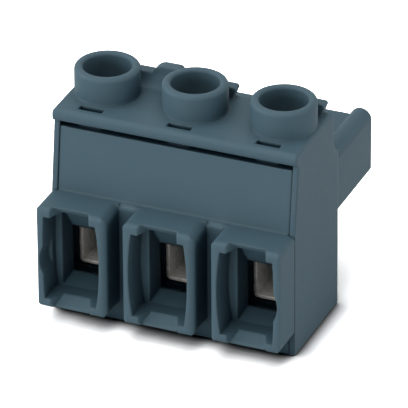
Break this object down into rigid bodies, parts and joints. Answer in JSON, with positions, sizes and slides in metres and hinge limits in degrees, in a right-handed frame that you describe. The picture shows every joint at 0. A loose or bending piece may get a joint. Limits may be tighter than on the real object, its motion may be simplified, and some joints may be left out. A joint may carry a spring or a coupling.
{
  "type": "pluggable screw terminal",
  "caption": "Plug-in screw terminal for a board header, with wire funnels, rising clamps and screw collars.",
  "frame": {"origin": "centre of the footprint's box, on the flat base", "axes": "+X along the poles, -Y the wire side, +Y the plug side, +Z the screw side"},
  "size_m": [0.028, 0.0266, 0.0272],
  "materials": {
    "housing_plastic": "blue-grey moulded plastic, fine matt texture",
    "screw_steel": "zinc-plated steel",
    "cage_steel": "zinc-plated folded sheet",
    "contact_copper": "tinned copper alloy",
    "spring_steel": "bare spring steel"
  },
  "bodies": {
    "terminal": {"housing": "housing_plastic", "funnel_front": "housing_plastic", "contact_1": "contact_copper", "contact_2": "contact_copper", "contact_3": "contact_copper", "over_spring_1": "spring_steel", "over_spring_2": "spring_steel", "over_spring_3": "spring_steel"},
    "screw_1": {"clamp_screw_1": "screw_steel"},
    "cage_1": {"clamp_cage_1": "cage_steel"},
    "screw_2": {"clamp_screw_2": "screw_steel"},
    "cage_2": {"clamp_cage_2": "cage_steel"},
    "screw_3": {"clamp_screw_3": "screw_steel"},
    "cage_3": {"clamp_cage_3": "cage_steel"}
  },
  "joints": [
    {"name": "screw_turn_1", "type": "hinge", "parent": "terminal", "child": "screw_1", "pos_m": [-0.01016, -0.00262, 0.021], "axis": [0, 0, -1], "range_deg": [0, 2780]},
    {"name": "cage_lift_1", "type": "slide", "parent": "terminal", "child": "cage_1", "axis": [0, 0, 1], "range_m": [0, 0.0054]},
    {"name": "screw_turn_2", "type": "hinge", "parent": "terminal", "child": "screw_2", "pos_m": [0, -0.00262, 0.021], "axis": [0, 0, -1], "range_deg": [0, 2780]},
    {"name": "cage_lift_2", "type": "slide", "parent": "terminal", "child": "cage_2", "axis": [0, 0, 1], "range_m": [0, 0.0054]},
    {"name": "screw_turn_3", "type": "hinge", "parent": "terminal", "child": "screw_3", "pos_m": [0.01016, -0.00262, 0.021], "axis": [0, 0, -1], "range_deg": [0, 2780]},
    {"name": "cage_lift_3", "type": "slide", "parent": "terminal", "child": "cage_3", "axis": [0, 0, 1], "range_m": [0, 0.0054]}
  ],
  "couplings": [
    {"joint": "screw_turn_1", "follows": "cage_lift_1", "rad_per_m": 8976},
    {"joint": "screw_turn_2", "follows": "cage_lift_2", "rad_per_m": 8976},
    {"joint": "screw_turn_3", "follows": "cage_lift_3", "rad_per_m": 8976}
  ]
}
